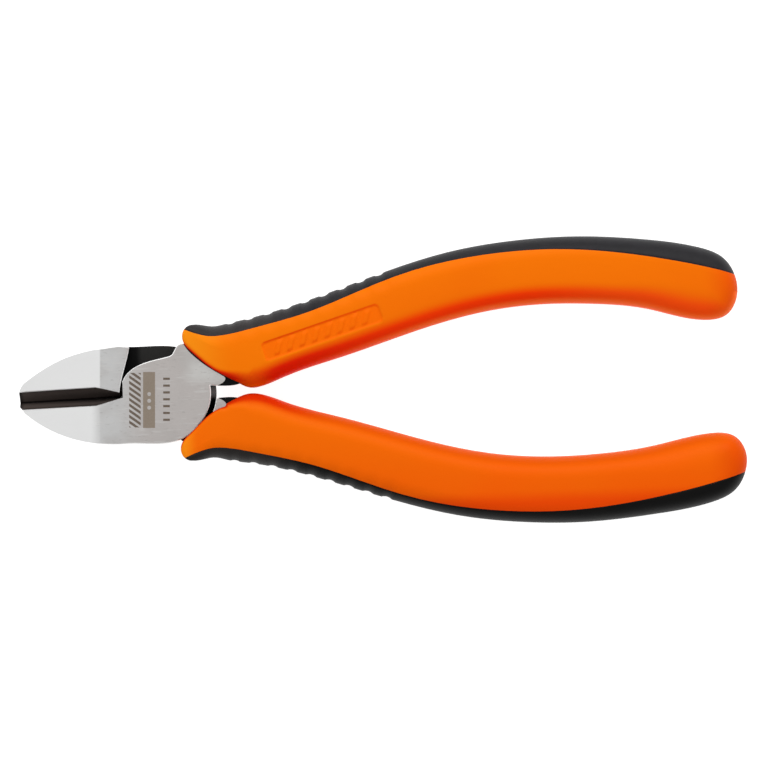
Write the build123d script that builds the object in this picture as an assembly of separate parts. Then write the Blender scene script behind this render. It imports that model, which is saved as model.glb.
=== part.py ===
from build123d import *

import os
from math import cos, radians, sin, tan

# Diagonal cutting pliers, 160 mm class. Two forged levers cross at a rivet that is ground flush,
# and each handle is a hard sleeve with a soft pad along its outer side.
#
# Everything is drawn with the pivot axis on Z, the middle plane of the joint at z = 0, the jaws
# towards -X and the handles towards +X. The finished pieces are lifted by half the joint, so the
# row's origin is where the pivot axis meets the ground back of the joint.
#
# Both levers are drawn alike: jaw at y < 0, half joint at z > 0, tang at y > 0. The rear lever is
# then turned half a turn about X. The two differ in the way the cutting line tilts and in how far
# their grips reach.

# ---- joint
JOINT_HALF = 5.25          # half the thickness of the closed joint
LEVER_GAP = 0.06           # running gap between the two half joints
DISC_R = 9.95              # half joint seen from above
SKIRT_R = 11.0             # the disc's drafted wall widens to this at the middle plane
BLOCK_R = 11.15            # inner wall of the full-thickness neck, clears the other half joint
BLOCK_END = 60             # degrees from +X where the far side of the neck stops
BACK_Y = -10.8             # lowest line of the jaw's back
BACK_LEAN = 0.16           # each back stands this much off the mean of the two

# ---- jaws
TIP_X = -32.35
TIP_HALF = 3.0             # half thickness at the tips
FACET_X = -14.4            # the faces slope from here to the tip
FACET_SKEW = 2             # degrees between the facet's near edge and the square
CUT_TILT = 1.4             # degrees between the cutting line and the tool's axis
CUT_OFFSET = -0.18         # height of the cutting line over the pivot
CUT_ROOT_X = -9.8          # the cutting line runs from the tip to here
CUT_STAGGER = 0.2          # the closed edges meet in plan, this far apart through the thickness
BEVEL_NEAR = (1.65, 0.15)  # width of the bevel on the half joint's side: along the jaw, at its end
BEVEL_FAR = (2.55, 0.85)   # the same on the other side
BEVEL_END_X = -15.4        # the groove narrows from here
NOTCH_X = -9.4             # and ends in the joint here
BEVEL_OVERRUN = 1.3        # the bevel's cutter is drawn this many times its own size

# ---- neck and tang
NECK_HALF = 4.6            # half thickness of the steel where the grip covers it
TANG_HALF = 3.2
TANG_END_X = 98.0
EDGE_BREAK = 0.2           # broken edges of the ground faces

# ---- rivet
RIVET_R = 2.8
RIVET_HEAD_R = 3.9
RIVET_HEAD_DEPTH = 1.1
RIVET_PLAY = 0.04          # radial running clearance in the rear lever

# ---- grips
GRIP_HALF = 7.0            # half thickness
GRIP_ROUND = 1.8           # rounding of the long edges
UPPER_REACH = (0.15, 0.0)  # how much further the grip reaches at its nose and at its tail
LOWER_REACH = (1.25, 0.8)
LIP_R = 12.5               # the lips of the grips pass over the other lever inside this radius
LIP_GAP = 0.35             # and this far above its ground face
PAD_GROOVES = 9
PAD_GROOVE_PITCH = 4.1
PAD_GROOVE_START_X = 14.3
PAD_GROOVE_R = 2.2
PAD_GROOVE_DEPTH = 0.24

# ---- recessed panel on the upper grip's face
PANEL_LENGTH = 27.0
PANEL_HEIGHT = 3.9
PANEL_CENTRE = (34.8, 12.2)
PANEL_ANGLE = 17
PANEL_DEPTH = 0.35
PANEL_BARS = 8
BAR_PITCH = 2.9
BAR_WIDTH = 1.3
BAR_HEIGHT = 2.5
BAR_SLANT = 31

HIGH = 30.0                # reach of cutting shapes past the solid


def cut_line_y(x, tilt_sign):
    """Height of the cutting line at x; the rear lever sees the line mirrored."""
    return tilt_sign * (CUT_OFFSET + x * tan(radians(CUT_TILT)))


def prism(outline, z_from, z_to):
    """Closed curve extruded between two heights."""
    return Pos(0, 0, z_from) * extrude(make_face(outline), amount=z_to - z_from)


def half_joint_outline(tilt_sign):
    """Jaw, half joint and neck as one plan shape, cut off under the grip."""
    tip = (TIP_X, cut_line_y(TIP_X, tilt_sign))
    nose_y = -1.55 - 0.35 * tilt_sign
    root = (CUT_ROOT_X, cut_line_y(CUT_ROOT_X, tilt_sign))
    disc_start, disc_middle, disc_end = (
        (DISC_R * cos(radians(angle)), DISC_R * sin(radians(angle))) for angle in (8.5, -20, -46))
    cutting_edge = Line(tip, root)
    near_side = Spline(root, (-9.75, 1.9), (-8.85, 4.0), (-6.65, 5.95), (-2.5, 7.4), (1.0, 8.15))
    rise = Spline((1.0, 8.15), (1.85, 8.75), (2.6, 10.1), (3.8, 10.85))
    neck_top = Spline((3.8, 10.85), (10.0, 10.7), (16.0, 11.0), (24.0, 13.3))
    neck_end = Line((24.0, 13.3), (24.0, 6.4))
    neck_bottom = Spline((24.0, 6.4), (19.0, 3.1), (15.5, 1.45), (12.0, 1.3), disc_start)
    disc = ThreePointArc(disc_start, disc_middle, disc_end)
    lean = BACK_LEAN * tilt_sign
    belly = Spline(disc_end, (4.0, -9.75), (1.0, -10.6 - lean), (-5.0, -10.7 - lean),
                   (-10.0, BACK_Y))
    back = Spline((-10.0, BACK_Y), (-16.0, -10.2 - lean), (-22.0, -8.65 - lean),
                  (-27.0, -6.25 - lean), (-31.2, -3.3))
    nose = Spline((-31.2, -3.3), (-31.95, -2.3), (TIP_X, nose_y))
    closing = Line((TIP_X, nose_y), tip)
    return [cutting_edge, near_side, rise, neck_top, neck_end, neck_bottom, disc, belly, back,
            nose, closing]


def far_jaw_region():
    """Everything on the jaw's side of the shoulder, on the side away from the half joint."""
    shoulder = Spline((-10.2, 2.0), (-10.1, -1.0), (-9.65, -3.2), (-8.4, -7.4), (-7.55, -11.5))
    around = Polyline((-7.55, -11.5), (-7.55, -HIGH), (-60, -HIGH), (-60, 2.0), (-10.2, 2.0))
    return [shoulder, around]


def far_neck_region():
    """Everything past the block radius and below the radial line that ends the neck."""
    edge = 2 * HIGH
    block = Polyline((0, -edge), (edge, -edge), (edge, edge * tan(radians(BLOCK_END))), (0, 0),
                     (0, -edge))
    return make_face(block) - Circle(BLOCK_R)


def bevel_cutter(side, widths, tilt_sign):
    """Solid that grinds one bevel of the cutting edge; side is +1 or -1 along Z."""
    width, end_width = widths

    def section(x, reach):
        y = cut_line_y(x, tilt_sign)
        past = y + JOINT_HALF
        edge = -CUT_STAGGER / 2
        half = JOINT_HALF if x >= FACET_X else face_half(x)
        top = side * half * BEVEL_OVERRUN
        low = y - reach * BEVEL_OVERRUN
        corners = [(x, past, edge), (x, y, edge), (x, low, top), (x, past, top)]
        return make_face(Polyline(*corners, close=True))

    long_part = loft([section(TIP_X - 2, width), section(BEVEL_END_X, width)], ruled=True)
    end_part = loft([section(BEVEL_END_X, width), section(NOTCH_X, end_width)], ruled=True)
    return long_part + end_part


def face_half(x):
    """Half thickness of the jaw at x: full at the facet line, thin at the tip."""
    return JOINT_HALF + (x - FACET_X) * (JOINT_HALF - TIP_HALF) / (FACET_X - TIP_X)


def facet_cutter(side, tilt_sign):
    """Wedge that slopes one face of the jaw from the facet line down to the tip."""
    outer = side * 3 * JOINT_HALF
    corners = [(FACET_X, side * JOINT_HALF), (TIP_X - 5, side * face_half(TIP_X - 5)),
               (TIP_X - 5, outer), (FACET_X, outer)]
    wedge = extrude(Plane.XZ * make_face(Polyline(*corners, close=True)), amount=HIGH, both=True)
    return Rot(0, 0, -tilt_sign * FACET_SKEW) * wedge


def grip_outline(nose, tail):
    """Grip in plan as one smooth closed curve, drawn clockwise from the pad's front."""
    hump = [(6.3 - nose, 14.9), (8.2 - nose * 0.75, 14.85), (10.6 - nose / 2, 14.45),
            (13.6 - nose / 2, 14.85 + nose / 5)]
    outer = [(17.5, 15.65 + nose / 5), (31.0, 19.2), (47.0, 24.5), (63.0, 29.0), (79.0, 31.15),
             (91.0, 31.5), (107.0, 30.25), (118.5 + tail, 28.1)]
    end = [(123.7 + tail, 25.6), (126.15 + tail, 21.5), (126.35 + tail, 16.9 + tail / 3),
           (123.9 + tail, 13.0 + tail * 0.8), (119.0 + tail, 12.1 + tail)]
    inner = [(107.0 + tail / 2, 14.9 + tail / 3), (95.0, 16.5 + tail / 8), (83.0, 16.8), (71.0, 15.65),
             (55.0, 11.75), (39.0, 6.75), (26.0, 2.75)]
    throat = [(21.2, 0.95), (18.6 - nose / 2, 0.65), (15.6 - nose, 2.1)]
    front = [(10.1 - nose, 5.45), (6.4 - nose * 0.8, 8.7), (4.35 - nose, 11.4), (4.5 - nose, 13.6)]
    return Spline(*hump, *outer, *end, *inner, *throat, *front, periodic=True)


def pad_region():
    """Everything outside the line where the hard sleeve meets the soft pad."""
    seam = Spline((3.0, 14.6), (7.0, 12.95), (10.0, 12.25), (13.0, 12.35), (20.0, 13.75),
                  (31.0, 16.5), (39.0, 19.35), (47.0, 22.45), (55.0, 25.05), (71.0, 28.0),
                  (83.0, 28.7), (95.0, 28.1), (107.0, 26.35), (119.0, 23.75), (128.0, 21.2))
    around = Polyline((128.0, 21.2), (135.0, 21.2), (135.0, 45.0), (3.0, 45.0), (3.0, 14.6))
    return [seam, around]


def disc_skirt():
    """Drafted wall of the disc, between the neck and the far side of the belly."""
    height = JOINT_HALF - EDGE_BREAK - LEVER_GAP / 2
    wall = Cone(SKIRT_R, DISC_R, height, align=(Align.CENTER, Align.CENTER, Align.MIN))
    far = 2 * SKIRT_R
    sector = Polyline((0, 0), (far, -far * tan(radians(BLOCK_END))), (far, far * tan(radians(8.0))),
                      close=True)
    return (Pos(0, 0, LEVER_GAP / 2) * wall) & prism(sector, -HIGH, HIGH)


def broken_edges(solid, side):
    """Break the edges round the ground face on one side of a flat blank."""
    face = solid.faces().sort_by(Axis.Z)[-1 if side > 0 else 0]
    return chamfer(face.edges(), EDGE_BREAK)


def tang():
    """Steel core of the handle."""
    top = Spline((12.0, 10.4), (20.0, 11.6), (31.0, 15.0), (47.0, 20.1), (63.0, 24.6), (79.0, 27.0),
                 (94.0, 27.0))
    tip = ThreePointArc((94.0, 27.0), (TANG_END_X, 23.9), (94.0, 20.9))
    bottom = Spline((94.0, 20.9), (79.0, 20.7), (63.0, 18.1), (47.0, 13.5), (31.0, 8.4), (20.0, 5.2),
                    (14.5, 4.0))
    start = Line((14.5, 4.0), (12.0, 10.4))
    return prism([top, tip, bottom, start], -TANG_HALF, TANG_HALF)


def unground_region(nose):
    """Everything behind the front edge of the grip and the rounded corner of the ground land."""
    front = Spline((4.3 - nose, 14.0), (4.25 - nose, 11.2), (6.55 - nose, 8.05),
                   (10.1 - nose, 5.2), (12.7 - nose / 2, 3.5))
    corner = Spline((12.7 - nose / 2, 3.5), (13.2, 2.7), (12.5, 1.9), (11.4, 1.3), (11.0, 0.0))
    around = Polyline((11.0, 0.0), (60, 0.0), (60, 40), (4.3 - nose, 40), (4.3 - nose, 14.0))
    return [front, corner, around]


def lever(tilt_sign, nose):
    """One lever with its jaw down, its half joint in front and its tang up."""
    outline = make_face(half_joint_outline(tilt_sign))
    near = Pos(0, 0, LEVER_GAP / 2) * extrude(outline, amount=JOINT_HALF - LEVER_GAP / 2)
    steel = broken_edges(near, 1) + disc_skirt()
    for region in (make_face(far_jaw_region()), far_neck_region()):
        blank = Pos(0, 0, -JOINT_HALF) * extrude(outline & region, amount=JOINT_HALF + LEVER_GAP / 2)
        steel += broken_edges(blank, -1)
    for side in (1, -1):
        steel -= facet_cutter(side, tilt_sign)
    steel -= bevel_cutter(1, BEVEL_NEAR, tilt_sign)
    steel -= bevel_cutter(-1, BEVEL_FAR, tilt_sign)
    steel -= prism(unground_region(nose), NECK_HALF, HIGH)
    steel -= prism(unground_region(nose), -HIGH, -NECK_HALF)
    return steel + tang()


def rivet(play=0.0):
    """Shank with two countersunk heads, ground flush with both faces, grown by the play."""
    cone = RIVET_HEAD_DEPTH
    profile = Polyline((0, -JOINT_HALF), (RIVET_HEAD_R + play, -JOINT_HALF),
                       (RIVET_R + play, -JOINT_HALF + cone), (RIVET_R + play, JOINT_HALF - cone),
                       (RIVET_HEAD_R + play, JOINT_HALF), (0, JOINT_HALF), close=True)
    return revolve(Plane.XZ * make_face(profile), Axis.Z)


def pad_grooves(nose, tail):
    """Shallow finger grooves across the outer edge of the pad, near the joint."""
    edge = grip_outline(nose, tail)
    cutters = Part()
    for index in range(PAD_GROOVES):
        x = PAD_GROOVE_START_X + index * PAD_GROOVE_PITCH
        y = max((edge & Edge.make_line((x, 0), (x, 60))).vertices(), key=lambda v: v.Y).Y
        centre_y = y + PAD_GROOVE_R - PAD_GROOVE_DEPTH
        cutters += Pos(x, centre_y, 0) * Cylinder(PAD_GROOVE_R, 4 * GRIP_HALF)
    return cutters


def grip_panel():
    """Shallow recessed panel with raised slanted bars for the upper grip's face."""
    floor = Rectangle(PANEL_LENGTH, PANEL_HEIGHT)
    for index in range(PANEL_BARS):
        x = (index - (PANEL_BARS - 1) / 2) * BAR_PITCH
        floor -= Pos(x, 0) * Rot(0, 0, -BAR_SLANT) * Rectangle(BAR_WIDTH, BAR_HEIGHT)
    depth = extrude(floor, amount=2 * PANEL_DEPTH)
    return Pos(*PANEL_CENTRE, GRIP_HALF - PANEL_DEPTH) * Rot(0, 0, PANEL_ANGLE) * depth


def grip_blank(nose, tail):
    """Whole grip with rounded edges, before it is split into sleeve and pad."""
    blank = prism(grip_outline(nose, tail), -GRIP_HALF, GRIP_HALF)
    rims = [face.edges() for face in (blank.faces().sort_by(Axis.Z)[0],
                                      blank.faces().sort_by(Axis.Z)[-1])]
    return fillet(ShapeList([edge for rim in rims for edge in rim]), GRIP_ROUND)


def grip_parts(steel, nose, tail):
    """Hard sleeve and soft pad for the upper handle, both fitted round the lever's steel."""
    lip_half = JOINT_HALF + LIP_GAP
    swept = Pos(0, 0, (LEVER_GAP - lip_half) / 2) * Cylinder(LIP_R, lip_half + LEVER_GAP)
    blank = grip_blank(nose, tail) - swept - steel
    outside = prism(pad_region(), -HIGH, HIGH)
    body = blank - outside
    pad = (blank & outside) - pad_grooves(nose, tail)
    return body, pad


def turned_over(solid):
    """The same solid turned half a turn about the tool's long axis."""
    return Rot(180, 0, 0) * solid


def save(node, solid):
    """Write one piece, lifted so that the ground back of the joint is at z = 0."""
    piece = (Pos(0, 0, JOINT_HALF) * solid).solid()
    print(node, "valid", piece.is_valid, "volume", round(piece.volume, 1))
    export_step(piece, "parts/" + node + ".step")


def main():
    os.makedirs("parts", exist_ok=True)
    front = lever(1, UPPER_REACH[0])
    rear = lever(-1, LOWER_REACH[0])
    upper_body, upper_pad = grip_parts(front, *UPPER_REACH)
    lower_body, lower_pad = grip_parts(rear, *LOWER_REACH)
    save("front_lever", front - rivet())
    save("rear_lever", turned_over(rear) - rivet(RIVET_PLAY))
    save("pivot_rivet", rivet())
    save("upper_grip_body", upper_body - grip_panel())
    save("upper_grip_pad", upper_pad)
    save("lower_grip_body", turned_over(lower_body))
    save("lower_grip_pad", turned_over(lower_pad))


main()
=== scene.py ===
from math import cos, pi, radians, sin, tan

import bmesh
import bpy
import numpy as np
from mathutils import Matrix, Vector
from mathutils.kdtree import KDTree


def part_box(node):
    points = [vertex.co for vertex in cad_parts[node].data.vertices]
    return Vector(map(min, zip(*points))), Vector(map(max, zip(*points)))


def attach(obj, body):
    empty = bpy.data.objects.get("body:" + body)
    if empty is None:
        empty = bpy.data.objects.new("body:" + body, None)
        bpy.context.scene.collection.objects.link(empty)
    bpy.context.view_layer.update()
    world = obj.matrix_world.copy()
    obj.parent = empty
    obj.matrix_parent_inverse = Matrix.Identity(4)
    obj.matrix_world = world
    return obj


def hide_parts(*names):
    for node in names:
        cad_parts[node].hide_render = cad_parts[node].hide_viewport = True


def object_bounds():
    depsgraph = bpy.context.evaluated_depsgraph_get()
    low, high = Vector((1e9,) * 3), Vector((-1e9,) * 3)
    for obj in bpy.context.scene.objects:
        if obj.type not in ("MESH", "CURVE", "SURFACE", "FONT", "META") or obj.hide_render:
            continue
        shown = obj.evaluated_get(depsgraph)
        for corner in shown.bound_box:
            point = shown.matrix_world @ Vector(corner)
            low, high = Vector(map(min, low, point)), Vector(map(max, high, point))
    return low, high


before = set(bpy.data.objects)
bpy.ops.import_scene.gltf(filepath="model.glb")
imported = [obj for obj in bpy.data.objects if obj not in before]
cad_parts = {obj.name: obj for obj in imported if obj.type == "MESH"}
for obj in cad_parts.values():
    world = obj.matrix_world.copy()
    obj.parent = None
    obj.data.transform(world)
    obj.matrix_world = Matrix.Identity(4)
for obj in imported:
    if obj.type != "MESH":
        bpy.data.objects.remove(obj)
CAD_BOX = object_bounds()
MM = 0.001

# ---- measures shared by shapes and materials, in the CAD's own frame
JOINT_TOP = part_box("pivot_rivet")[1].z
MID_Z = JOINT_TOP / 2
JAW_TIP_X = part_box("front_lever")[0].x
GRIP_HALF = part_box("upper_grip_body")[1].z - MID_Z
FACET_X = -14.4 * MM        # the jaws' faces slope from here to the tip
TIP_HALF = 3.0 * MM         # half thickness of the jaws at the tip
CUT_TILT = radians(1.4)     # the cutting line's slant in plan
CUT_OFFSET = -0.18 * MM     # the cutting line's Y where it passes the pivot
SKEW = radians(2.0)         # the etched marks and the facets' edges are this much out of square
SECTION_RISE = 4.75 * MM    # height over the middle plane where a grip's CAD outline is read

# ---- etched marks: limits along and across the front face, in millimetres
BAR = ((-4.9, -2.35), (-7.5, 4.7))
HATCHING = ((-7.95, -5.5), (-7.4, 4.5))
TICKS = ((-0.5, 0.9), (-6.9, 4.45))
MARK_EDGE = 0.08
TICK_EDGE = 0.06
MARK_PITCH = 1.5            # of the ticks and of the dots in the bar
HATCH_PITCH = 1.24
HATCH_SLANT = 0.7
DOT_CENTRE = (-3.6, -1.6)   # middle one of the three dots
DOT_SPAN = (-3.6, 0.4)      # the dots lie between these limits across the face

# ---- profile of the grips
PROFILE_ROUND = 5.2 * MM    # how far in from the outline the rounding of the grip reaches
PROFILE_POWER = 2.5         # 2 is an ellipse, more is squarer
SIDE_WALL = 0.9 * MM        # half height of the upright wall along the handle
FRONT_ROUND = 1.1 * MM      # the same two at the front lip
FRONT_WALL = 6.1 * MM
OUTER_FRONT = (4 * MM, 12 * MM)     # the lip's square profile gives way between these X
INNER_FRONT = (11 * MM, 20 * MM)
TAIL_ROUND = 2.4 * MM       # the rounding reaches this much further along the tail's inner side
TAIL_START = (98 * MM, 114 * MM)    # it grows between the first two X and fades between the others
TAIL_END = (117 * MM, 124 * MM)
CROWN = 0.35 * MM           # the faces bulge this much over the middle of the handle
CROWN_REACH = 7 * MM        # the bulge is complete this far in from the outline
SEAM_DIP = 0.12 * MM        # the pad's edge sinks this much where it meets the sleeve
SEAM_WIDTH = 0.18 * MM

# ---- meshes of the grips
STATIONS = 640              # points along a grip's curves
SLEEVE_ACROSS = 74          # points across the sleeve and the pad at each of them
PAD_ACROSS = 26
CURVE_POINTS = 4000         # points along a curve that distances are measured to
SEAM_MATCH = 0.06 * MM      # a point of the pad this near to the sleeve lies on the seam
CREASE = radians(38)
LIP_R = 12.5 * MM           # the other lever turns under a grip's lips inside this radius
LIP_HALF = 5.5 * MM         # and no further than this from the middle plane
LIP_OVERLAP = 0.06 * MM     # its clearance starts this much beyond the middle plane

# ---- recessed panel of the upper grip, with slanted ribs across it
PANEL_CENTRE = Vector((34.8, 12.2)) * MM
PANEL_HALF = Vector((13.5, 1.95)) * MM
PANEL_ANGLE = radians(17)
PANEL_DEPTH = 0.26 * MM
PANEL_EDGE = 0.26 * MM      # half width of the slope round the panel and beside its ribs
PANEL_CORNER = 0.9 * MM
RIB_HALF = 0.65 * MM
RIB_PITCH = 2.9 * MM
RIB_REACH = 1.75 * MM       # a rib ends this far from the panel's middle line
RIB_FADE = 0.9 * MM         # and fades out over this length before it
RIB_SLANT = 0.6             # how far a rib leans along the panel for each step across it
RIB_SHARE = 0.9             # share of the panel's depth that a rib fills

# ---- camera: straight above, turned two degrees, aimed a little left of the handles' middle
VIEW_CENTRE = Vector((47.13, 1.34, 10.5)) * MM
VIEW_WIDTH = 166.8 * MM
VIEW_ROLL = radians(-2.0)
LENS = 200.0
SENSOR = 36.0


# ------------------------------------------------------------------ node helpers
class Shader:
    """Short way to write a node tree: each call adds one node and returns its output."""

    def __init__(self, name):
        self.material = bpy.data.materials.new(name)
        self.material.use_nodes = True
        self.tree = self.material.node_tree
        self.tree.nodes.clear()
        self.output = self.tree.nodes.new("ShaderNodeOutputMaterial")
        self.surface = self.tree.nodes.new("ShaderNodeBsdfPrincipled")
        self.tree.links.new(self.surface.outputs[0], self.output.inputs[0])
        coords = self.tree.nodes.new("ShaderNodeTexCoord").outputs["Object"]
        scaled = self.tree.nodes.new("ShaderNodeVectorMath")
        scaled.operation = "SCALE"
        scaled.inputs["Scale"].default_value = 1 / MM
        self.tree.links.new(coords, scaled.inputs[0])
        self.position = scaled.outputs[0]
        axes = self.tree.nodes.new("ShaderNodeSeparateXYZ")
        self.tree.links.new(self.position, axes.inputs[0])
        self.x, self.y, self.z = axes.outputs

    def _feed(self, socket, value):
        if isinstance(value, bpy.types.NodeSocket):
            self.tree.links.new(value, socket)
        else:
            socket.default_value = value

    def math(self, operation, a, b=0.0, clamp=False):
        node = self.tree.nodes.new("ShaderNodeMath")
        node.operation = operation
        node.use_clamp = clamp
        for socket, value in zip(node.inputs, (a, b)):
            self._feed(socket, value)
        return node.outputs[0]

    def ramp(self, value, low, high, to_low=0.0, to_high=1.0):
        """Smooth step of a value between two limits."""
        node = self.tree.nodes.new("ShaderNodeMapRange")
        node.interpolation_type = "SMOOTHSTEP"
        for socket, number in zip(node.inputs[:5], (value, low, high, to_low, to_high)):
            self._feed(socket, number)
        return node.outputs[0]

    def band(self, value, low, high, edge):
        """1 between low and high, falling to 0 over edge outside them."""
        rise = self.ramp(value, low - edge, low)
        fall = self.ramp(value, high, high + edge, 1.0, 0.0)
        return self.math("MULTIPLY", rise, fall)

    def patch(self, u, v, area, edge):
        """1 inside a rectangle of two plan coordinates, falling to 0 over edge outside it."""
        return self.math("MULTIPLY", self.band(u, *area[0], edge), self.band(v, *area[1], edge))

    def noise(self, scale, detail=4.0, roughness=0.55, stretch=(1, 1, 1), offset=(0, 0, 0)):
        """Noise in millimetres; stretch gives its fineness along X, Y and Z."""
        mapping = self.tree.nodes.new("ShaderNodeMapping")
        mapping.inputs["Location"].default_value = offset
        mapping.inputs["Scale"].default_value = stretch
        self.tree.links.new(self.position, mapping.inputs[0])
        node = self.tree.nodes.new("ShaderNodeTexNoise")
        node.inputs["Scale"].default_value = scale
        node.inputs["Detail"].default_value = detail
        node.inputs["Roughness"].default_value = roughness
        self.tree.links.new(mapping.outputs[0], node.inputs["Vector"])
        return node.outputs[0]

    def mix(self, factor, a, b):
        """Mix two colours."""
        node = self.tree.nodes.new("ShaderNodeMix")
        node.data_type = "RGBA"
        self._feed(node.inputs[0], factor)
        for socket, value in ((node.inputs[6], a), (node.inputs[7], b)):
            if isinstance(value, tuple):
                socket.default_value = (*value, 1.0)
            else:
                self.tree.links.new(value, socket)
        return node.outputs[2]

    def blend(self, factor, a, b):
        """Mix two numbers."""
        node = self.tree.nodes.new("ShaderNodeMix")
        for socket, value in ((node.inputs[0], factor), (node.inputs[2], a), (node.inputs[3], b)):
            self._feed(socket, value)
        return node.outputs[0]

    def turned(self, angle):
        """Plan coordinates turned about the pivot axis."""
        along = self.math("MULTIPLY", self.x, cos(angle))
        along = self.math("SUBTRACT", along, self.math("MULTIPLY", self.y, sin(angle)))
        across = self.math("MULTIPLY", self.x, sin(angle))
        across = self.math("ADD", across, self.math("MULTIPLY", self.y, cos(angle)))
        return along, across

    def normal(self):
        """Parts of the surface's normal along X, Y and Z."""
        geometry = self.tree.nodes.new("ShaderNodeNewGeometry")
        split = self.tree.nodes.new("ShaderNodeSeparateXYZ")
        self.tree.links.new(geometry.outputs["Normal"], split.inputs[0])
        return split.outputs

    def bump(self, height, strength, distance_mm, previous=None):
        node = self.tree.nodes.new("ShaderNodeBump")
        node.inputs["Strength"].default_value = strength
        node.inputs["Distance"].default_value = distance_mm * MM
        self.tree.links.new(height, node.inputs["Height"])
        if previous:
            self.tree.links.new(previous, node.inputs["Normal"])
        return node.outputs[0]

    def set(self, **values):
        """Set or link inputs of the surface shader, named with _ for each space."""
        for name, value in values.items():
            socket = self.surface.inputs[name.replace("_", " ")]
            if isinstance(value, tuple):
                value = (*value, 1.0)
            self._feed(socket, value)


# ------------------------------------------------------------------ steel
def etched_marks(s):
    """Generic laser marks on the front face: a bar with three dots, hatching and a tick scale."""
    front = s.ramp(s.z, JOINT_TOP / MM - 0.15, JOINT_TOP / MM - 0.05)
    u, v = s.turned(SKEW)

    step = s.math("PINGPONG", s.math("ADD", v, 14 * MARK_PITCH - DOT_CENTRE[1]), MARK_PITCH / 2)
    aside = s.math("ADD", u, -DOT_CENTRE[0])
    squares = (s.math("MULTIPLY", step, step), s.math("MULTIPLY", aside, aside))
    from_dot = s.math("SQRT", s.math("ADD", *squares))
    dots = s.math("MULTIPLY", s.ramp(from_dot, 0.46, 0.38), s.band(v, *DOT_SPAN, 0.05))
    block = s.math("SUBTRACT", s.patch(u, v, BAR, MARK_EDGE), dots, clamp=True)

    leaning = s.math("ADD", v, s.math("MULTIPLY", u, HATCH_SLANT))
    stripe = s.math("PINGPONG", leaning, HATCH_PITCH / 2)
    hatch = s.math("MULTIPLY", s.patch(u, v, HATCHING, MARK_EDGE), s.ramp(stripe, 0.24, 0.34))
    tick = s.math("PINGPONG", s.math("ADD", v, 20.0), MARK_PITCH / 2)
    ticks = s.math("MULTIPLY", s.patch(u, v, TICKS, TICK_EDGE), s.ramp(tick, 0.46, 0.54))
    fine = s.math("MULTIPLY", s.math("MAXIMUM", hatch, ticks), front)
    return s.math("MULTIPLY", block, front), fine


def ground_colour(s, along, grain, chamfer):
    """Ground faces, a little darker and warmer at the joint, with painted highlights making the
    sloping facets lightest and the chamfers nearly white.
    """
    cloud = s.noise(0.16, 3.0, 0.5)
    speck = s.noise(1.6, 3.0, 0.55, (0.45, 1.7, 1.0), (3, 1, 0))
    scratch = s.noise(1.0, 3.0, 0.5, (0.22, 2.4, 1.0), (7, 4, 0))
    bright = s.mix(s.ramp(s.x, -12.0, -4.0), (0.55, 0.55, 0.548), (0.48, 0.447, 0.43))
    at_neck = s.math("MULTIPLY", s.ramp(s.x, 3.0, 7.0), s.ramp(s.y, 1.0, 4.0))
    bright = s.mix(at_neck, bright, (0.58, 0.57, 0.55))
    bright = s.mix(s.ramp(grain, 0.35, 0.7, 0.0, 0.2), bright, (0.64, 0.635, 0.63))
    bright = s.mix(s.ramp(cloud, 0.4, 0.72, 0.0, 0.45), bright, (0.42, 0.40, 0.385))
    bright = s.mix(s.ramp(speck, 0.60, 0.70, 0.0, 0.35), bright, (0.31, 0.30, 0.285))
    bright = s.mix(s.ramp(scratch, 0.56, 0.68, 0.0, 0.5), bright, (0.60, 0.59, 0.575))

    # painted highlight on the sloping facets, which starts at a sharp line on the upper jaw and
    # softly on the lower one
    start = FACET_X / MM
    sharp_edge = s.ramp(along, start + 0.2, start - 0.2)
    soft_edge = s.ramp(along, start + 0.4, start - 2.2)
    facet_highlight = s.blend(s.ramp(s.y, -1.0, 0.0), soft_edge, sharp_edge)
    bright = s.mix(s.math("MULTIPLY", facet_highlight, 0.9), bright, (0.75, 0.752, 0.75))
    # painted highlight: the chamfered edges are painted nearly white
    return s.mix(chamfer, bright, (0.98, 0.975, 0.965))


def forged_colour(s, scale):
    """Black forging scale, with painted shade making it deepest in the gaps beside the joint."""
    forged = s.mix(scale, (0.013, 0.0128, 0.0123), (0.028, 0.0276, 0.0262))
    # painted shade: nearly black in the gaps beside the joint
    return s.mix(s.band(s.x, -5.0, 7.8, 1.6), (0.0006, 0.0006, 0.0006), forged)


def browned_colour(s):
    """Cutting bevels browned by hardening, with painted shade along the cutting line where the
    jaws meet, and darker along the rims and at the tip.
    """
    streak = s.noise(1.2, 4.0, 0.6, (0.5, 2.5, 2.5))
    browned = s.mix(streak, (0.054, 0.043, 0.037), (0.080, 0.063, 0.057))
    over = s.math("SUBTRACT", s.y, s.math("MULTIPLY", s.x, tan(CUT_TILT)))
    over = s.math("SUBTRACT", over, CUT_OFFSET / MM)
    # painted shade along the cutting line where the jaws meet; darker also along the bevels' rims
    # and at the tip
    line_shade_and_darkening = s.ramp(s.math("ABSOLUTE", over), 0.35, 0.08, 0.0, 0.85)
    line_shade_and_darkening = s.math("MAXIMUM", line_shade_and_darkening, s.ramp(over, 1.9, 2.8, 0.0, 0.8))
    line_shade_and_darkening = s.math("MAXIMUM", line_shade_and_darkening, s.ramp(over, -1.0, -1.6, 0.0, 0.6))
    line_shade_and_darkening = s.math("MAXIMUM", line_shade_and_darkening, s.ramp(s.x, -31.2, -32.2, 0.0, 0.8))
    return s.mix(line_shade_and_darkening, browned, (0.003, 0.002, 0.002))


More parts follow.
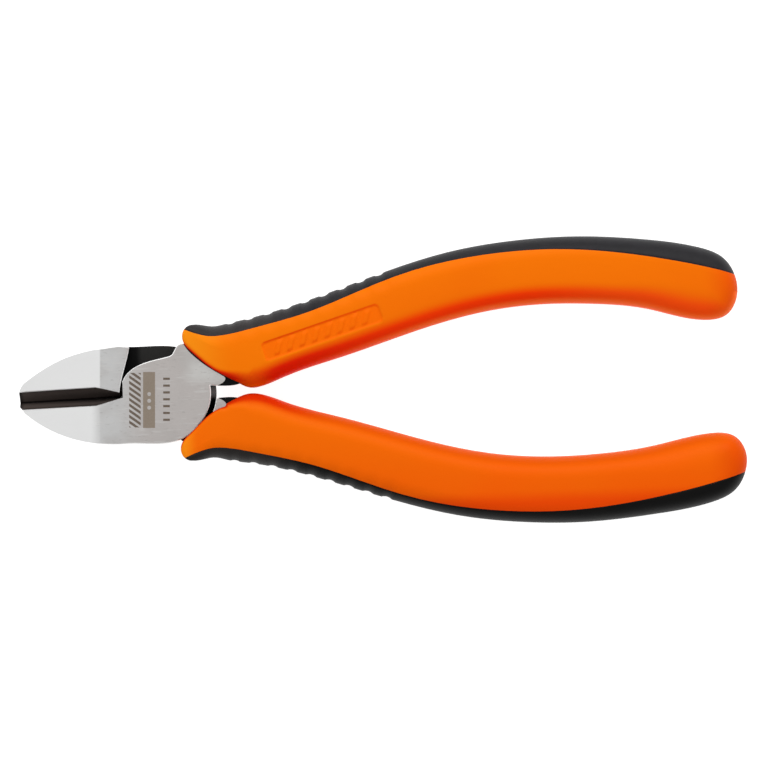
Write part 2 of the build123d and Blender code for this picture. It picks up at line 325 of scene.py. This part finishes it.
def steel_material(name):
    """Ground steel faces with fine grain and painted highlights, black as-forged surfaces with
    painted shade, and browned cutting bevels with painted shade along the cutting line.
    """
    s = Shader(name)
    along = s.turned(SKEW)[0]

    # depth under the ground face, whose level falls from the facets' edge to the tip
    height = s.math("ABSOLUTE", s.math("SUBTRACT", s.z, MID_Z / MM))
    fall = (MID_Z - TIP_HALF) / (FACET_X - JAW_TIP_X)
    past_facet = s.math("MINIMUM", s.math("SUBTRACT", along, FACET_X / MM), 0.0)
    face = s.math("ADD", s.math("MULTIPLY", past_facet, fall), MID_Z / MM)
    depth = s.math("SUBTRACT", face, height)
    ground = s.ramp(depth, 0.28, 0.22)
    chamfer = s.math("MULTIPLY", ground, s.ramp(depth, 0.01, 0.05))
    bevels = s.math("MULTIPLY", s.ramp(s.x, -9.3, -9.6), s.band(s.y, -3.2, 2.7, 0.3))

    grain = s.noise(1.0, 6.0, 0.7, (1.0, 14.0, 14.0))
    scale = s.noise(2.6, 5.0, 0.65)
    block, fine = etched_marks(s)
    marks = s.math("MAXIMUM", block, fine)
    patchy = s.ramp(s.noise(9.0), 0.2, 0.6, 0.8, 0.97)
    bright = ground_colour(s, along, grain, chamfer)
    bright = s.mix(s.math("MULTIPLY", block, patchy), bright, (0.235, 0.190, 0.145))
    bright = s.mix(s.math("MULTIPLY", fine, patchy), bright, (0.115, 0.085, 0.060))
    dark = s.mix(bevels, forged_colour(s, scale), browned_colour(s))

    shiny = s.blend(chamfer, ground, 0.3)
    ground_roughness = s.blend(grain, 0.27, s.blend(marks, 0.38, 0.6))
    s.set(Base_Color=s.mix(ground, dark, bright), Specular_IOR_Level=0.1)
    s.set(Metallic=s.blend(marks, shiny, 0.0))
    s.set(Roughness=s.blend(ground, s.blend(scale, 0.34, 0.58), ground_roughness))
    lines = s.bump(grain, 0.10, 0.02)
    s.set(Normal=s.bump(s.math("MULTIPLY", marks, -1.0), 0.3, 0.02, lines))
    return s.material


# ------------------------------------------------------------------ plastics and floor
def orange_with_painted_light(s, on_upper):
    """Orange that drifts a little from place to place over both sleeves, with painted light and
    shade laid over it.
    """
    drift = s.noise(0.05, 2.0, 0.5)
    # painted light and shade: darker over the lower grip, lighter over the outer part of the upper
    # grip
    colour = s.mix(s.ramp(s.y, -32.0, -4.0), (0.86, 0.096, 0.001), (0.87, 0.146, 0.001))
    colour = s.mix(s.ramp(s.y, 10.0, 30.0), colour, (0.88, 0.172, 0.001))
    colour = s.mix(s.ramp(drift, 0.35, 0.65, 0.0, 0.3), colour, (0.84, 0.132, 0.001))
    # painted shade along the outer edge of the lower grip
    colour = s.mix(s.ramp(s.y, -23.5, -27.0), colour, (0.80, 0.062, 0.001))

    # painted shade deepens both tails; painted light pales the upper grip towards its nose, and
    # painted highlights sit right at both noses
    colour = s.mix(s.ramp(s.x, 118.0, 126.5, 0.0, 0.75), colour, (0.74, 0.056, 0.001))
    pale = s.math("MULTIPLY", on_upper, s.ramp(s.x, 65.0, 20.0, 0.0, 0.6))
    colour = s.mix(pale, colour, (0.90, 0.200, 0.001))
    nose = s.math("MULTIPLY", on_upper, s.ramp(s.x, 16.0, 4.0))
    nose = s.math("MAXIMUM", nose, s.ramp(s.x, 7.0, 3.5, 0.0, 0.8))
    return s.mix(nose, colour, (0.93, 0.270, 0.006))


def rolled_shade_colour(s, colour, on_upper):
    """Painted shade: deeper colour where the faces roll over between the handles, and a painted
    reflection of the floor low on the upper grip's roll.
    """
    normal = s.normal()
    slope = s.math("SUBTRACT", 1.0, s.math("ABSOLUTE", normal[2]))
    inward = s.math("MULTIPLY", normal[1], s.blend(on_upper, 1.0, -1.0))
    between = s.ramp(inward, 0.02, 0.14)
    # painted shade colours of the roll, for the lower grip and for the upper grip
    shade_low = s.mix(s.ramp(s.x, 38.0, 22.0), (0.70, 0.094, 0.001), (0.66, 0.030, 0.001))
    shade_high = s.mix(s.ramp(s.x, 60.0, 24.0), (0.98, 0.045, 0.001), (0.82, 0.014, 0.001))
    shade_high = s.mix(s.ramp(s.x, 78.0, 102.0), shade_high, (0.98, 0.080, 0.004))
    roll_shade_low = s.math("MULTIPLY", s.ramp(slope, 0.03, 0.40), between)
    roll = s.blend(on_upper, roll_shade_low, s.ramp(inward, 0.03, 0.52))
    roll = s.math("MULTIPLY", roll, s.ramp(s.x, 126.0, 119.0, 0.3, 1.0))
    roll = s.math("MULTIPLY", roll, s.ramp(slope, 0.98, 0.75, 0.2, 1.0))
    colour = s.mix(roll, colour, s.mix(on_upper, shade_low, shade_high))

    # painted reflection of the floor: the lowest part of the upper grip's roll is paler again
    floor_reflection = s.math("MULTIPLY", s.ramp(slope, 0.25, 0.55), s.ramp(s.x, 26.0, 60.0))
    floor_reflection = s.math("MULTIPLY", s.math("MULTIPLY", floor_reflection, between), on_upper)
    return s.mix(floor_reflection, colour, (0.97, 0.130, 0.006))


def panel_mask(s):
    """1 on the front face's recessed panel."""
    u, v = s.turned(-PANEL_ANGLE)
    middle = Matrix.Rotation(-PANEL_ANGLE, 2) @ PANEL_CENTRE / MM
    half = PANEL_HALF / MM
    area = ((middle.x - half.x, middle.x + half.x), (middle.y - half.y, middle.y + half.y))
    front = s.ramp(s.z, MID_Z / MM, JOINT_TOP / MM, 0.0, 0.7)
    return s.math("MULTIPLY", s.patch(u, v, area, 0.1), front)


def orange_material():
    """Silky moulded plastic with a very fine grain and faint wear, its colour carrying painted
    light, shade and reflection.
    """
    s = Shader("orange_sleeve")
    fine = s.noise(16.0, 3.0, 0.6)
    wear = s.noise(0.9, 5.0, 0.7, (0.6, 1.6, 1.6), (2, 5, 0))
    on_upper = s.ramp(s.y, -3.0, 5.0)
    colour = rolled_shade_colour(s, orange_with_painted_light(s, on_upper), on_upper)
    colour = s.mix(panel_mask(s), colour, (0.93, 0.138, 0.001))
    colour = s.mix(s.ramp(wear, 0.60, 0.78, 0.0, 0.15), colour, (0.74, 0.105, 0.001))
    s.set(Base_Color=colour, Roughness=s.blend(wear, 0.36, 0.48))
    s.set(Specular_IOR_Level=0.025, IOR=1.5)
    s.set(Normal=s.bump(fine, 0.10, 0.03))
    return s.material


def pad_material():
    """Satin black elastomer, faintly dusty, a little greyer at the front, with painted light
    making the upper pad lighter than the lower one.
    """
    s = Shader("black_pad")
    fine = s.noise(12.0, 4.0, 0.7)
    cloud = s.noise(0.5, 4.0, 0.6, (0.7, 1.5, 1.5))
    upper = s.mix(cloud, (0.013, 0.013, 0.0142), (0.025, 0.0235, 0.0270))
    lower = s.mix(cloud, (0.001, 0.001, 0.0010), (0.004, 0.0038, 0.0034))
    # painted light and shade: the upper pad lighter, the lower pad darker
    colour = s.mix(s.ramp(s.y, -14.0, 14.0), lower, upper)
    colour = s.mix(s.ramp(s.x, 31.0, 20.0, 0.0, 0.33), colour, (0.055, 0.047, 0.043))
    s.set(Base_Color=colour, Roughness=s.blend(fine, 0.42, 0.60), Specular_IOR_Level=0.11)
    s.set(Normal=s.bump(fine, 0.22, 0.05))
    return s.material


def floor_material():
    """Pale seamless paper."""
    s = Shader("pale_floor")
    tone = s.noise(0.02, 2.0, 0.5)
    s.set(Base_Color=s.mix(tone, (0.39, 0.39, 0.39), (0.41, 0.41, 0.41)), Roughness=0.9)
    s.set(Specular_IOR_Level=0.1, Emission_Color=(1.0, 1.0, 1.0), Emission_Strength=0.92)
    return s.material


# ------------------------------------------------------------------ plan curves
def section_loop(node, z):
    """Outline of a CAD node cut by a level plane, as an (n, 2) array in order round the loop."""
    cut = bmesh.new()
    cut.from_mesh(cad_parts[node].data)
    bmesh.ops.remove_doubles(cut, verts=cut.verts, dist=1e-7)
    everything = cut.verts[:] + cut.edges[:] + cut.faces[:]
    found = bmesh.ops.bisect_plane(cut, geom=everything, dist=1e-8, plane_co=(0, 0, z),
                                   plane_no=(0, 0, 1), clear_inner=True, clear_outer=True)
    edges = [e for e in found["geom_cut"] if isinstance(e, bmesh.types.BMEdge)]
    neighbours = {}
    for edge in edges:
        for one, other in (edge.verts, reversed(edge.verts)):
            neighbours.setdefault(one, []).append(other)
    loops = []
    unused = set(neighbours)
    while unused:
        vert = next(iter(unused))
        loop = []
        while vert is not None:
            unused.discard(vert)
            loop.append(vert.co.xy.copy())
            vert = next((v for v in neighbours[vert] if v in unused), None)
        loops.append(np.array(loop))
    cut.free()
    return max(loops, key=lambda loop: np.ptp(loop[:, 0]))


def resample(chain, count):
    """Chain of points spaced evenly along its length."""
    steps = np.r_[0, np.cumsum(np.linalg.norm(np.diff(chain, axis=0), axis=1))]
    at = np.linspace(0, steps[-1], count)
    return np.c_[np.interp(at, steps, chain[:, 0]), np.interp(at, steps, chain[:, 1])]


def split_loop(loop, start, stop):
    """The two chains of a loop between its points nearest to start and to stop."""
    first = int(np.argmin(np.linalg.norm(loop - start, axis=1)))
    loop = np.roll(loop, -first, axis=0)
    last = int(np.argmin(np.linalg.norm(loop - stop, axis=1)))
    one = loop[:last + 1]
    other = np.r_[loop[last:], loop[:1]][::-1]
    return one, other


def tree_of(points):
    """Nearest-point tree over a plan curve."""
    tree = KDTree(len(points))
    for index, (x, y) in enumerate(points):
        tree.insert((x, y, 0), index)
    tree.balance()
    return tree


def gap_to(tree, points):
    """Distance from each plan point to the nearest point of a tree."""
    return np.array([tree.find((x, y, 0))[2] for x, y in points])


def smooth_step(t):
    t = np.clip(t, 0, 1)
    return t * t * (3 - 2 * t)


def step_between(value, limits):
    """Smooth step from 0 at the first limit to 1 at the second."""
    low, high = limits
    return smooth_step((value - low) / (high - low))


# ------------------------------------------------------------------ grips
class Grip:
    """Plan curves of one grip, read from the CAD, and the rounded height over them."""

    def __init__(self, body_node, pad_node, whole_side):
        level = MID_Z + whole_side * SECTION_RISE
        body = section_loop(body_node, level)
        pad = section_loop(pad_node, level)
        body_tree = tree_of(resample(np.r_[body, body[:1]], 6000))
        shared = pad[gap_to(body_tree, pad) < SEAM_MATCH]
        front = shared[np.argmin(shared[:, 0])]
        end = shared[np.argmax(shared[:, 0])]

        # of the pad's two chains the seam is the one nearer to the sleeve's middle
        middle_of_body = body.mean(axis=0)
        one, other = split_loop(pad, front, end)
        reach = [np.abs(resample(c, 9)[4] - middle_of_body).sum() for c in (one, other)]
        seam, outer = (one, other) if reach[0] < reach[1] else (other, one)

        # of the sleeve's two chains the inner one is further from the seam
        one, other = split_loop(body, front, end)
        whole_seam = tree_of(resample(seam, CURVE_POINTS))
        inner = max((one, other), key=lambda c: gap_to(whole_seam, resample(c, 9)).mean())

        self.seam, self.outer, self.inner = (resample(c, STATIONS) for c in (seam, outer, inner))
        for chain in (self.outer, self.inner):
            chain[0], chain[-1] = self.seam[0], self.seam[-1]
        outline = np.r_[resample(outer, CURVE_POINTS), resample(inner, CURVE_POINTS)]
        self.tree = tree_of(outline)
        self.seam_tree = tree_of(resample(self.seam, CURVE_POINTS))

    def height(self, points):
        """Half thickness over each plan point: square under the front lip, rounded elsewhere."""
        result = np.empty(len(points))
        for index, (x, y) in enumerate(points):
            near, number, gap = self.tree.find((x, y, 0))
            on_inner = number >= CURVE_POINTS
            front = 1 - step_between(near.x, INNER_FRONT if on_inner else OUTER_FRONT)
            wall = SIDE_WALL + front * (FRONT_WALL - SIDE_WALL)
            tail = step_between(near.x, TAIL_START) * (1 - step_between(near.x, TAIL_END))
            reach = PROFILE_ROUND + front * (FRONT_ROUND - PROFILE_ROUND)
            reach += on_inner * tail * TAIL_ROUND
            t = 1 - min(gap / reach, 1.0)
            arc = (1 - t ** PROFILE_POWER) ** (1 / PROFILE_POWER)
            crown = CROWN * (1 - (1 - min(gap / CROWN_REACH, 1.0)) ** 2)
            result[index] = wall + (GRIP_HALF - CROWN - wall) * arc + crown
        return result


def panel_relief(points):
    """Depth of the recessed panel with slanted ribs across it at each plan point."""
    along = (cos(PANEL_ANGLE), sin(PANEL_ANGLE))
    across = (-sin(PANEL_ANGLE), cos(PANEL_ANGLE))
    u, v = ((points - np.array(PANEL_CENTRE)) @ np.array((along, across)).T).T

    over = np.c_[np.abs(u), np.abs(v)] - np.array(PANEL_HALF) + PANEL_CORNER
    beyond = np.linalg.norm(np.maximum(over, 0), axis=1)
    recess = smooth_step((PANEL_CORNER - beyond) / (2 * PANEL_EDGE) + 0.5)
    slant = u - RIB_SLANT * v
    centre = (np.floor(slant / RIB_PITCH) + 0.5) * RIB_PITCH
    ribs = smooth_step((RIB_HALF - np.abs(slant - centre)) / (2 * PANEL_EDGE) + 0.5)
    ribs *= smooth_step((RIB_REACH - np.abs(v)) / RIB_FADE)
    ribs *= np.abs(centre) < PANEL_HALF.x - RIB_PITCH
    return PANEL_DEPTH * recess * (1 - RIB_SHARE * ribs)


def leaf_mesh(grip, one, other, across, relief=None, seam_dip=0.0):
    """Closed shell over the area between two plan chains that share both ends."""
    share = (1 - np.cos(np.linspace(0, pi, across))) / 2
    plan = one[:, None, :] * (1 - share)[None, :, None] + other[:, None, :] * share[None, :, None]
    flat = plan.reshape(-1, 2)
    height = grip.height(flat)
    height -= seam_dip * np.exp(-(gap_to(grip.seam_tree, flat) / SEAM_WIDTH) ** 2)
    lowered = height - relief(flat) if relief else height
    mesh = bmesh.new()
    sheets = []
    for side, rise in ((1, lowered), (-1, height)):
        verts = [mesh.verts.new((x, y, MID_Z + side * h)) for (x, y), h in zip(flat, rise)]
        sheets.append(verts)
        for i in range(STATIONS - 1):
            for j in range(across - 1):
                a = i * across + j
                corners = (a, a + 1, a + 1 + across, a + across)
                mesh.faces.new([verts[k] for k in corners])
    top, bottom = sheets
    for j in (0, across - 1):
        for i in range(STATIONS - 1):
            a, b = i * across + j, (i + 1) * across + j
            mesh.faces.new([top[a], top[b], bottom[b], bottom[a]])
    bmesh.ops.remove_doubles(mesh, verts=mesh.verts, dist=1e-7)
    empty = [f for f in mesh.faces if f.calc_area() < 1e-15]
    bmesh.ops.delete(mesh, geom=empty, context="FACES")
    bmesh.ops.holes_fill(mesh, edges=[e for e in mesh.edges if e.is_boundary], sides=0)
    bmesh.ops.recalc_face_normals(mesh, faces=mesh.faces)
    return mesh


def loose_object(mesh, name):
    """Object made of a bmesh, which is freed."""
    data = bpy.data.meshes.new(name)
    mesh.to_mesh(data)
    mesh.free()
    return bpy.data.objects.new(name, data)


def lip_cutter(side):
    """Cylinder that the other lever sweeps under the grip's lips; side is +1 or -1 along Z."""
    mesh = bmesh.new()
    middle = MID_Z + side * (LIP_HALF - LIP_OVERLAP) / 2
    bmesh.ops.create_cone(mesh, cap_ends=True, segments=128, radius1=LIP_R, radius2=LIP_R,
                          depth=LIP_HALF + LIP_OVERLAP, matrix=Matrix.Translation((0, 0, middle)))
    return loose_object(mesh, "lip_cutter")


def cut_under_lip(mesh, side):
    """Clear the space that the other lever needs."""
    whole = loose_object(mesh, "whole_grip")
    cutter = lip_cutter(side)
    for item in (whole, cutter):
        bpy.context.scene.collection.objects.link(item)
    change = whole.modifiers.new("lip", "BOOLEAN")
    change.operation = "DIFFERENCE"
    change.solver = "EXACT"
    change.object = cutter
    graph = bpy.context.evaluated_depsgraph_get()
    result = bmesh.new()
    result.from_mesh(whole.evaluated_get(graph).to_mesh())
    for item in (whole, cutter):
        bpy.data.objects.remove(item)
    return result


def finish_piece(mesh, name, material, body, node, slot):
    """Finished piece: smooth shading with sharp creases, riding in place of its CAD node."""
    for face in mesh.faces:
        face.smooth = True
    for edge in mesh.edges:
        edge.smooth = len(edge.link_faces) == 2 and edge.calc_face_angle(0) < CREASE
    piece = loose_object(mesh, name)
    bpy.context.scene.collection.objects.link(piece)
    piece.data.materials.append(material)
    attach(piece, body)
    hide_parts(node)


def make_grip(place, body, side, orange, black):
    """Both pieces of one grip. The far half of the joint runs under the grip on the given side."""
    body_node, pad_node = place + "_grip_body", place + "_grip_pad"
    grip = Grip(body_node, pad_node, -side)
    relief = panel_relief if place == "upper" else None
    sleeve = leaf_mesh(grip, grip.seam, grip.inner, SLEEVE_ACROSS, relief)
    pad = leaf_mesh(grip, grip.outer, grip.seam, PAD_ACROSS, seam_dip=SEAM_DIP)
    parts = ((sleeve, body_node, orange, "orange_sleeve"), (pad, pad_node, black, "black_pad"))
    for mesh, node, material, slot in parts:
        cleared = cut_under_lip(mesh, side)
        finish_piece(cleared, place + "_" + slot, material, body, node, slot)


# ------------------------------------------------------------------ stage
def make_floor():
    mesh = bmesh.new()
    bmesh.ops.create_grid(mesh, x_segments=24, y_segments=24, size=3.0)
    floor = loose_object(mesh, "floor")
    floor.location.z = CAD_BOX[0].z
    floor.data.materials.append(floor_material())
    bpy.context.scene.collection.objects.link(floor)


def make_camera():
    lens = bpy.data.cameras.new("camera")
    lens.lens, lens.sensor_width = LENS, SENSOR
    lens.clip_start, lens.clip_end = 0.01, 10.0
    camera = bpy.data.objects.new("camera", lens)
    distance = VIEW_WIDTH * LENS / SENSOR
    camera.location = VIEW_CENTRE + Vector((0, 0, distance))
    camera.rotation_euler = (0, 0, VIEW_ROLL)
    bpy.context.scene.collection.objects.link(camera)
    bpy.context.scene.camera = camera


def area_light(name, place, size, power):
    """White soft box aimed at the middle of the tool."""
    data = bpy.data.lights.new(name, "AREA")
    data.shape, data.size, data.size_y = "RECTANGLE", size[0], size[1]
    data.energy = power
    light = bpy.data.objects.new(name, data)
    light.location = place
    aim = Vector((0.047, 0, 0)) - Vector(place)
    light.rotation_euler = aim.to_track_quat("-Z", "Y").to_euler()
    bpy.context.scene.collection.objects.link(light)


def make_lights():
    """Soft boxes and a pale surround."""
    area_light("overhead", (0.047, 0, 1.5), (1.4, 1.4), 1.6)
    area_light("key", (0.10, 0.75, 0.75), (1.0, 0.5), 7.8)
    area_light("fill", (0.05, -0.8, 0.6), (1.0, 0.5), 0.3)
    area_light("jaw_side", (-0.45, 0.05, 0.85), (0.35, 0.9), 0.55)
    area_light("end_side", (0.75, 0, 0.22), (0.3, 0.8), 0.4)
    world = bpy.data.worlds.new("surround")
    world.use_nodes = True
    background = world.node_tree.nodes["Background"]
    background.inputs["Color"].default_value = (1, 1, 1, 1)
    background.inputs["Strength"].default_value = 0.45
    bpy.context.scene.world = world
    bpy.context.scene.view_settings.view_transform = "Standard"


def repaint(node, material):
    """Give a CAD node, whose shape is right, a finished material."""
    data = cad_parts[node].data
    data.materials.clear()
    data.materials.append(material)


steel = steel_material("ground_steel")
for steel_node in ("front_lever", "rear_lever"):
    repaint(steel_node, steel)
repaint("pivot_rivet", steel_material("rivet_steel"))
orange_plastic = orange_material()
black_rubber = pad_material()
make_grip("upper", "front_half", -1, orange_plastic, black_rubber)
make_grip("lower", "rear_half", 1, orange_plastic, black_rubber)
make_floor()
make_camera()
make_lights()
